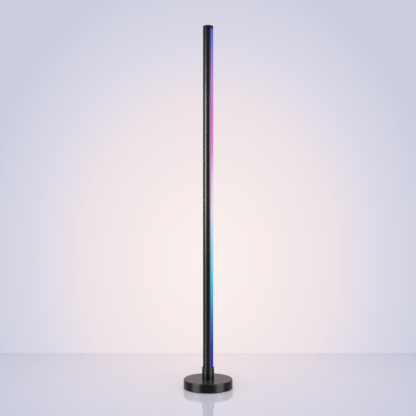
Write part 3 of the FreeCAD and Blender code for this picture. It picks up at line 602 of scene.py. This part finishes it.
def build_paint_texture():
    """Height and gloss that change over a sprayed or moulded surface."""
    group, source, result = new_group(
        "Paint texture",
        {"Grain size": 1400.0, "Base roughness": 0.3, "Unevenness": 0.04},
        {"Height": "NodeSocketFloat", "Roughness": "NodeSocketFloat", "Tone": "NodeSocketFloat"},
    )
    place = group.nodes.new("ShaderNodeTexCoord")
    grain = group.nodes.new("ShaderNodeTexNoise")
    grain.inputs["Detail"].default_value = 2.0
    group.links.new(place.outputs["Object"], grain.inputs["Vector"])
    group.links.new(source.outputs["Grain size"], grain.inputs["Scale"])
    patches = group.nodes.new("ShaderNodeTexNoise")
    patches.inputs["Scale"].default_value = 22.0
    patches.inputs["Detail"].default_value = 4.0
    group.links.new(place.outputs["Object"], patches.inputs["Vector"])
    centred = math_node(group, "SUBTRACT", patches.outputs["Fac"], 0.5)
    swing = math_node(group, "MULTIPLY", centred, source.outputs["Unevenness"])
    doubled = math_node(group, "MULTIPLY", swing, 2.0)
    rough = math_node(group, "ADD", source.outputs["Base roughness"], doubled)
    group.links.new(grain.outputs["Fac"], result.inputs["Height"])
    group.links.new(rough, result.inputs["Roughness"])
    group.links.new(patches.outputs["Fac"], result.inputs["Tone"])
    return group


def build_dust_and_sheen():
    """A mask on faces that look upwards: fine dust, and a painted sheen that lightens them."""
    group, source, result = new_group(
        "Soft dust and sheen", {"Amount": 0.1}, {"Mask": "NodeSocketFloat"},
    )
    place = group.nodes.new("ShaderNodeTexCoord")
    facing = group.nodes.new("ShaderNodeNewGeometry")
    split = group.nodes.new("ShaderNodeSeparateXYZ")
    group.links.new(facing.outputs["Normal"], split.inputs["Vector"])
    upward = math_node(group, "MAXIMUM", split.outputs["Z"], 0.0)
    cloud = group.nodes.new("ShaderNodeTexNoise")
    cloud.inputs["Scale"].default_value = 60.0
    cloud.inputs["Detail"].default_value = 6.0
    group.links.new(place.outputs["Object"], cloud.inputs["Vector"])
    dust_and_sheen_patches = math_node(group, "MULTIPLY", cloud.outputs["Fac"], upward)
    amount = math_node(group, "MULTIPLY", dust_and_sheen_patches, source.outputs["Amount"])
    group.links.new(amount, result.inputs["Mask"])
    return group


PAINT_TEXTURE = build_paint_texture()
SOFT_DUST_AND_SHEEN = build_dust_and_sheen()
print("groups:", PAINT_TEXTURE.name, "and", SOFT_DUST_AND_SHEEN.name)

# %% [markdown]
# ## Finishes
#
# Most pieces of the lamp are painted, moulded, cast or plated, and differ in colour, gloss and
# grain. One helper lays out such a finish: the paint texture drives the roughness and, through a
# Bump node, the normal, and a ramp between two close tones varies the colour. What stays the same
# all over a surface, such as the specular level, is set on the shader's own socket.

# %% Helper: a finish
# A warm colour for fine dust, which also paints a lighter, warmer sheen on the tops.
DUST_AND_SHEEN_COLOUR = (0.5, 0.41, 0.37, 1)


def shade(name, dark, light, *, grain=1400.0, rough=0.3, uneven=0.04, bump=0.05,
          bump_depth=0.05 * MM, metallic=0.0, specular=0.5, dust_and_sheen=0.0):
    """A finish with two close tones, uneven gloss, fine grain, and some dust with a painted sheen."""
    material = bpy.data.materials.new(name)
    material.use_nodes = True
    tree = material.node_tree
    surface = tree.nodes["Principled BSDF"]
    surface.inputs["Metallic"].default_value = metallic
    surface.inputs["Specular IOR Level"].default_value = specular
    texture = tree.nodes.new("ShaderNodeGroup")
    texture.node_tree = PAINT_TEXTURE
    texture.inputs["Grain size"].default_value = grain
    texture.inputs["Base roughness"].default_value = rough
    texture.inputs["Unevenness"].default_value = uneven
    tones = tree.nodes.new("ShaderNodeValToRGB")
    tones.color_ramp.elements[0].position = 0.35
    tones.color_ramp.elements[0].color = (*dark, 1)
    tones.color_ramp.elements[1].position = 0.65
    tones.color_ramp.elements[1].color = (*light, 1)
    tree.links.new(texture.outputs["Tone"], tones.inputs["Fac"])
    dust_and_sheen_node = tree.nodes.new("ShaderNodeGroup")
    dust_and_sheen_node.node_tree = SOFT_DUST_AND_SHEEN
    dust_and_sheen_node.inputs["Amount"].default_value = dust_and_sheen
    mix = tree.nodes.new("ShaderNodeMix")
    mix.data_type = "RGBA"
    mix.inputs["B"].default_value = DUST_AND_SHEEN_COLOUR
    tree.links.new(dust_and_sheen_node.outputs["Mask"], mix.inputs["Factor"])
    tree.links.new(tones.outputs["Color"], mix.inputs["A"])
    tree.links.new(mix.outputs["Result"], surface.inputs["Base Color"])
    tree.links.new(texture.outputs["Roughness"], surface.inputs["Roughness"])
    relief = tree.nodes.new("ShaderNodeBump")
    relief.inputs["Strength"].default_value = bump
    relief.inputs["Distance"].default_value = bump_depth
    tree.links.new(texture.outputs["Height"], relief.inputs["Height"])
    tree.links.new(relief.outputs["Normal"], surface.inputs["Normal"])
    return material


# %% [markdown]
# The column, the collar and the base cover are sprayed with the same satin black. It is nearly
# black with a faint warm tone, and its gloss is that of a fine powder coat: a softbox shows in it
# as a band with soft sides.

# %% Finishes
FINISHES = {
    # On the satin black, the dust mask also paints a lighter, warmer sheen on the top of the base.
    "satin_black": shade("satin_black", (0.0030, 0.0026, 0.0025), (0.0050, 0.0043, 0.0041),
                         grain=1100.0, rough=0.25, uneven=0.015, bump=0.015, specular=0.15,
                         dust_and_sheen=0.08),
    "cap_black": shade("cap_black", (0.0024, 0.0022, 0.0022), (0.004, 0.0038, 0.0038), grain=900.0,
                       rough=0.26, uneven=0.04, bump=0.06, specular=0.11, dust_and_sheen=0.004),
    "cast_iron": shade("cast_iron", (0.10, 0.095, 0.09), (0.17, 0.16, 0.15), grain=500.0,
                       rough=0.62, uneven=0.15, bump=0.5, bump_depth=0.3 * MM, metallic=0.8),
    "black_plate": shade("black_plate", (0.014, 0.014, 0.015), (0.024, 0.024, 0.026), rough=0.42,
                         uneven=0.1),
    "zinc_steel": shade("zinc_steel", (0.50, 0.51, 0.52), (0.62, 0.63, 0.64), grain=2500.0,
                        rough=0.3, uneven=0.12, metallic=1.0),
    "bare_aluminium": shade("bare_aluminium", (0.62, 0.62, 0.63), (0.74, 0.74, 0.75), grain=2200.0,
                            rough=0.33, uneven=0.1, metallic=1.0),
    "pad_rubber": shade("pad_rubber", (0.018, 0.018, 0.018), (0.032, 0.031, 0.03), grain=1800.0,
                        rough=0.75, uneven=0.12, bump=0.4),
    "strip_white": shade("strip_white", (0.72, 0.72, 0.70), (0.82, 0.82, 0.80), rough=0.45),
    "board_green": shade("board_green", (0.01, 0.10, 0.045), (0.014, 0.14, 0.06), rough=0.3,
                         uneven=0.08),
    "chip_black": shade("chip_black", (0.016, 0.016, 0.017), (0.026, 0.026, 0.027), rough=0.5),
    "capacitor_can": shade("capacitor_can", (0.50, 0.51, 0.53), (0.60, 0.61, 0.63), rough=0.28,
                           metallic=1.0),
    "connector_white": shade("connector_white", (0.66, 0.64, 0.58), (0.76, 0.74, 0.68), rough=0.5),
    "inlet_black": shade("inlet_black", (0.010, 0.010, 0.010), (0.016, 0.016, 0.016), rough=0.4,
                         uneven=0.08),
    "contact_metal": shade("contact_metal", (0.70, 0.66, 0.56), (0.80, 0.76, 0.66), rough=0.22,
                           metallic=1.0),
    "lead_black": shade("lead_black", (0.014, 0.014, 0.014), (0.024, 0.024, 0.024), rough=0.55,
                        bump=0.2),
}
print("finishes:", len(FINISHES))

# %% [markdown]
# ## The colour gradient in the opal cover
#
# Each diode behind the cover has its own colour, and the milky acrylic blurs them into one
# gradient: blue at the top, violet, pink and nearly white in the middle, then light blue, and a
# deep blue at the foot. The stops of a colour ramp are listed, one for each colour that a
# maker would name, at the height in metres where it shows. The ramp reads the height from Object
# coordinates, so the gradient stays on the lamp in any view. It feeds the emission, a little below
# full strength. Darkened, it is the base colour too, since acrylic that is lit from inside takes
# the colour of its light.

# %% Opal material
GRADIENT = [
    (0.16, (10, 40, 175)),      # deep blue
    (0.27, (35, 120, 215)),     # blue
    (0.43, (60, 215, 235)),     # light blue
    (0.56, (160, 220, 240)),    # pale blue
    (0.69, (240, 220, 250)),    # nearly white
    (0.80, (240, 195, 235)),    # pale pink
    (0.92, (230, 130, 210)),    # pink
    (1.05, (225, 100, 210)),    # magenta
    (1.16, (200, 120, 225)),    # violet
    (1.38, (75, 105, 215)),     # blue
]
VEIL_BASE, VEIL_DEPTH = 0.97, 0.06
UNLIT_BODY = (0.02, 0.02, 0.02, 1)


def linear(channel):
    """A colour channel of 0 to 255 as light."""
    share = channel / 255
    return share / 12.92 if share <= 0.04045 else ((share + 0.055) / 1.055) ** 2.4


def colour_ramp(tree, stops):
    """A colour ramp through stops that are given as (place, colour of 0 to 255)."""
    ramp = tree.nodes.new("ShaderNodeValToRGB")
    elements = ramp.color_ramp.elements
    for index, (position, colour) in enumerate(stops):
        stop = elements[index] if index < 2 else elements.new(1.0)
        stop.position = position
        stop.color = (*(linear(channel) for channel in colour), 1)
    return ramp


def glowing(name, strength, body_share):
    """A milky material that glows in the gradient of the strip."""
    material = bpy.data.materials.new(name)
    material.use_nodes = True
    tree = material.node_tree
    surface = tree.nodes["Principled BSDF"]
    surface.inputs["Roughness"].default_value = 0.5
    surface.inputs["Specular IOR Level"].default_value = 0.04
    surface.inputs["Emission Strength"].default_value = strength
    place = tree.nodes.new("ShaderNodeTexCoord")
    split = tree.nodes.new("ShaderNodeSeparateXYZ")
    tree.links.new(place.outputs["Object"], split.inputs["Vector"])
    height = math_node(tree, "DIVIDE", split.outputs["Z"], CAP_TOP)
    ramp = colour_ramp(tree, [(level / CAP_TOP, colour) for level, colour in GRADIENT])
    tree.links.new(height, ramp.inputs["Fac"])
    cloud = tree.nodes.new("ShaderNodeTexNoise")
    cloud.inputs["Scale"].default_value = 30.0
    tree.links.new(place.outputs["Object"], cloud.inputs["Vector"])
    veil = math_node(tree, "MULTIPLY_ADD", cloud.outputs["Fac"], VEIL_DEPTH)
    veil.node.inputs[2].default_value = VEIL_BASE
    milky = tree.nodes.new("ShaderNodeMix")
    milky.data_type = "RGBA"
    milky.blend_type = "MULTIPLY"
    milky.inputs["Factor"].default_value = 1.0
    tree.links.new(ramp.outputs["Color"], milky.inputs["A"])
    tree.links.new(veil, milky.inputs["B"])
    body = tree.nodes.new("ShaderNodeMix")
    body.data_type = "RGBA"
    body.inputs["Factor"].default_value = body_share
    body.inputs["A"].default_value = UNLIT_BODY
    tree.links.new(milky.outputs["Result"], body.inputs["B"])
    tree.links.new(body.outputs["Result"], surface.inputs["Base Color"])
    tree.links.new(milky.outputs["Result"], surface.inputs["Emission Color"])
    return material


FINISHES["opal"] = glowing("opal", strength=0.69, body_share=0.3)
FINISHES["chip_yellow"] = glowing("chip_yellow", strength=0.8, body_share=0.5)
print("gradient stops:", len(GRADIENT))

# %% [markdown]
# Every piece now takes the finish of its slot. The record names the slot of each node, and the new
# pieces were given theirs when they were made.

# %% Hand out the finishes
slot_of_node = {part["node"]: part["material_slot"] for part in frame["record"]["subparts"]}
for node_name, node in nodes.items():
    node.data.materials.clear()
    node.data.materials.append(FINISHES[slot_of_node[node_name]])
for piece in bpy.data.objects:
    if piece.type == "MESH" and "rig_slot" in piece:
        piece.data.materials.clear()
        piece.data.materials.append(FINISHES[piece["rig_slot"]])
print("nodes with a finish:", len(slot_of_node))

# %% [markdown]
# ## Studio
#
# The floor is pale and a little glossy, so the base and the column show in it softly. Its colour is
# a little warmer and lighter round the lamp, a painted pool of light. The backdrop stands straight
# behind it, and its colour runs from a warm white behind the lamp to a pale lavender grey at the
# edges: a painted glow of the lamp's light on the wall. Both are part of the stage and not of the
# lamp, and both are seen from their front only: a camera that looks at the back of the lamp, or up
# from below, looks through them.

# %% Floor and backdrop
BACKDROP_Y, BACKDROP_HEIGHT, STAGE_REACH = 0.655, 5, 6


def stage_plane(name, corners):
    """A flat piece of the stage."""
    form = bmesh.new()
    form.faces.new([form.verts.new(corner) for corner in corners])
    mesh = bpy.data.meshes.new(name)
    form.to_mesh(mesh)
    form.free()
    plane = bpy.data.objects.new(name, mesh)
    bpy.context.scene.collection.objects.link(plane)
    return plane


floor = stage_plane("floor", [
    (-STAGE_REACH, -STAGE_REACH, 0), (STAGE_REACH, -STAGE_REACH, 0),
    (STAGE_REACH, BACKDROP_Y, 0), (-STAGE_REACH, BACKDROP_Y, 0),
])
backdrop = stage_plane("backdrop", [
    (-STAGE_REACH, BACKDROP_Y, 0), (STAGE_REACH, BACKDROP_Y, 0),
    (STAGE_REACH, BACKDROP_Y, BACKDROP_HEIGHT), (-STAGE_REACH, BACKDROP_Y, BACKDROP_HEIGHT),
])
print("backdrop behind the lamp:", BACKDROP_Y)

# %% Materials of the stage
# The backdrop's colours are a painted glow: the lamp's light on the wall, warm white behind it.
GLOW_HEIGHT, GLOW_WIDTH, GLOW_RISE = 0.45, 1.12, 1.40
PAINTED_GLOW_COLOURS = [
    (0.0, (203, 206, 224)),     # lavender grey
    (0.28, (222, 218, 231)),
    (0.46, (237, 226, 231)),    # where the glow begins
    (0.75, (246, 235, 234)),
    (1.0, (250, 240, 236)),     # warm white
]
# The floor's colours are a painted pool of light: lighter and warmer round the lamp.
FLOOR_PAINTED_POOL_COLOURS = [(0.0, (195, 199, 208)), (0.5, (215, 210, 211)), (1.0, (232, 222, 219))]
POOL_FORWARD, POOL_SCALE = 0.5, 0.85
FLOOR_ROUGHNESS = 0.045


def painted_light_pool(tree, location, scale, stops):
    """Painted light: colours that run from far away to the middle of a soft round pool of light."""
    place = tree.nodes.new("ShaderNodeTexCoord")
    centre = tree.nodes.new("ShaderNodeMapping")
    centre.inputs["Location"].default_value = location
    squeeze = tree.nodes.new("ShaderNodeMapping")
    squeeze.inputs["Scale"].default_value = scale
    pool = tree.nodes.new("ShaderNodeTexGradient")
    pool.gradient_type = "SPHERICAL"
    tree.links.new(place.outputs["Object"], centre.inputs["Vector"])
    tree.links.new(centre.outputs["Vector"], squeeze.inputs["Vector"])
    tree.links.new(squeeze.outputs["Vector"], pool.inputs["Vector"])
    ramp = colour_ramp(tree, stops)
    tree.links.new(pool.outputs["Fac"], ramp.inputs["Fac"])
    return ramp.outputs["Color"]


def seen_directly(tree):
    """One where a camera, mirror or glass ray meets a surface, and nought for scattered light."""
    rays = tree.nodes.new("ShaderNodeLightPath")
    both = math_node(tree, "MAXIMUM", rays.outputs["Is Camera Ray"], rays.outputs["Is Glossy Ray"])
    return math_node(tree, "MAXIMUM", both, rays.outputs["Is Transmission Ray"])


def one_sided(tree, shader):
    """Lets a surface be seen from its front only, so that it never hides the lamp from behind."""
    facing = tree.nodes.new("ShaderNodeNewGeometry")
    clear = tree.nodes.new("ShaderNodeBsdfTransparent")
    side = tree.nodes.new("ShaderNodeMixShader")
    tree.links.new(facing.outputs["Backfacing"], side.inputs["Fac"])
    tree.links.new(shader, side.inputs[1])
    tree.links.new(clear.outputs["BSDF"], side.inputs[2])
    tree.links.new(side.outputs["Shader"], tree.nodes["Material Output"].inputs["Surface"])


def backdrop_material():
    """A painted glow of warm white behind the lamp that falls off to lavender grey."""
    material = bpy.data.materials.new("backdrop_paper_painted_glow")
    material.use_nodes = True
    tree = material.node_tree
    tree.nodes.remove(tree.nodes["Principled BSDF"])
    glow = painted_light_pool(tree, (0, -BACKDROP_Y, -GLOW_HEIGHT), (1 / GLOW_WIDTH, 1.0, 1 / GLOW_RISE),
                     PAINTED_GLOW_COLOURS)
    seen = tree.nodes.new("ShaderNodeEmission")
    tree.links.new(glow, seen.inputs["Color"])
    paper = tree.nodes.new("ShaderNodeBsdfDiffuse")
    tree.links.new(glow, paper.inputs["Color"])
    choose = tree.nodes.new("ShaderNodeMixShader")
    tree.links.new(seen_directly(tree), choose.inputs["Fac"])
    tree.links.new(paper.outputs["BSDF"], choose.inputs[1])
    tree.links.new(seen.outputs["Emission"], choose.inputs[2])
    one_sided(tree, choose.outputs["Shader"])
    return material


def floor_material():
    """A pale polished floor, painted a little warmer and lighter round the lamp as a pool of light.
    """
    material = bpy.data.materials.new("floor_satin_painted_pool")
    material.use_nodes = True
    tree = material.node_tree
    surface = tree.nodes["Principled BSDF"]
    surface.inputs["Roughness"].default_value = FLOOR_ROUGHNESS
    pool = painted_light_pool(tree, (0, -POOL_FORWARD, 0), (POOL_SCALE, POOL_SCALE, 1.0), FLOOR_PAINTED_POOL_COLOURS)
    tree.links.new(pool, surface.inputs["Base Color"])
    one_sided(tree, surface.outputs["BSDF"])
    return material


backdrop.data.materials.append(backdrop_material())
floor.data.materials.append(floor_material())
print("stage colours:", len(PAINTED_GLOW_COLOURS), "on the backdrop,", len(FLOOR_PAINTED_POOL_COLOURS), "on the floor")

# %% [markdown]
# ## Light
#
# Two softboxes stand left and right of the camera. Their reflections are the two upright bands on
# the column and on the side of the base. They are shorter than the lamp, so the bands fade towards
# the cap and the foot, and a taller and dimmer panel behind each carries them on to both ends.
#
# A polished floor would mirror the boxes as hard white patches that have nothing to do with the
# lamp. A photographer keeps such patches out of the picture with flags. Here light linking does it:
# the boxes leave the stage out, both as something that they light and as something that shades
# them. They are also seen in gloss only, so that they draw the bands and leave the plain light of
# the room as it is.

# %% Softboxes
stage_set = bpy.data.collections.new("stage_set")
for item in (floor, backdrop):
    stage_set.objects.link(item)
for entry in stage_set.collection_objects:
    entry.light_linking.link_state = "EXCLUDE"


def softbox(name, angle, distance, low, high, width, power):
    """A rectangular light that stands upright between two heights and looks at the column."""
    data = bpy.data.lights.new(name, "AREA")
    data.shape = "RECTANGLE"
    data.size = width
    data.size_y = high - low
    data.energy = power
    lamp = bpy.data.objects.new(name, data)
    turn = math.radians(angle)
    middle = (low + high) / 2
    lamp.location = (distance * math.sin(turn), -distance * math.cos(turn), middle)
    look = Vector((0, 0, middle)) - lamp.location
    lamp.rotation_euler = look.to_track_quat("-Z", "Y").to_euler()
    lamp.light_linking.receiver_collection = stage_set
    lamp.light_linking.blocker_collection = stage_set
    lamp.visible_diffuse = False
    bpy.context.scene.collection.objects.link(lamp)


softbox("softbox_left", angle=-57, distance=2.2, low=0.54, high=1.58, width=1.4, power=100)
softbox("softbox_right", angle=50, distance=2.3, low=0.48, high=1.52, width=1.6, power=86)
softbox("panel_left", angle=-57, distance=2.25, low=-0.9, high=1.85, width=1.4, power=84)
softbox("panel_right", angle=56, distance=2.35, low=-0.9, high=1.85, width=1.6, power=92)

# %% [markdown]
# ## Room and overhead light
#
# The room is evenly pale, and gives the plain soft light that shows every colour about as it is.
# One large light overhead adds to it, so that the lamp keeps its soft shadow on the floor. It isn't
# seen in gloss, because on the real set nothing bright hangs above the lamp for the rim of the base
# to show.

# %% Room and overhead light
ROOM_COLOUR = (209, 210, 226)
world = bpy.data.worlds.new("room")
world.use_nodes = True
room = world.node_tree.nodes["Background"]
room.inputs["Color"].default_value = (*(linear(channel) for channel in ROOM_COLOUR), 1)
room.inputs["Strength"].default_value = 1.0
bpy.context.scene.world = world

overhead = bpy.data.lights.new("overhead", "AREA")
overhead.size = 3.0
overhead.energy = 72
overhead_lamp = bpy.data.objects.new("overhead", overhead)
overhead_lamp.location = (0, -0.2, 3.2)
overhead_lamp.visible_glossy = False
bpy.context.scene.collection.objects.link(overhead_lamp)
bpy.context.scene.view_settings.view_transform = "Standard"
print("room colour:", ROOM_COLOUR)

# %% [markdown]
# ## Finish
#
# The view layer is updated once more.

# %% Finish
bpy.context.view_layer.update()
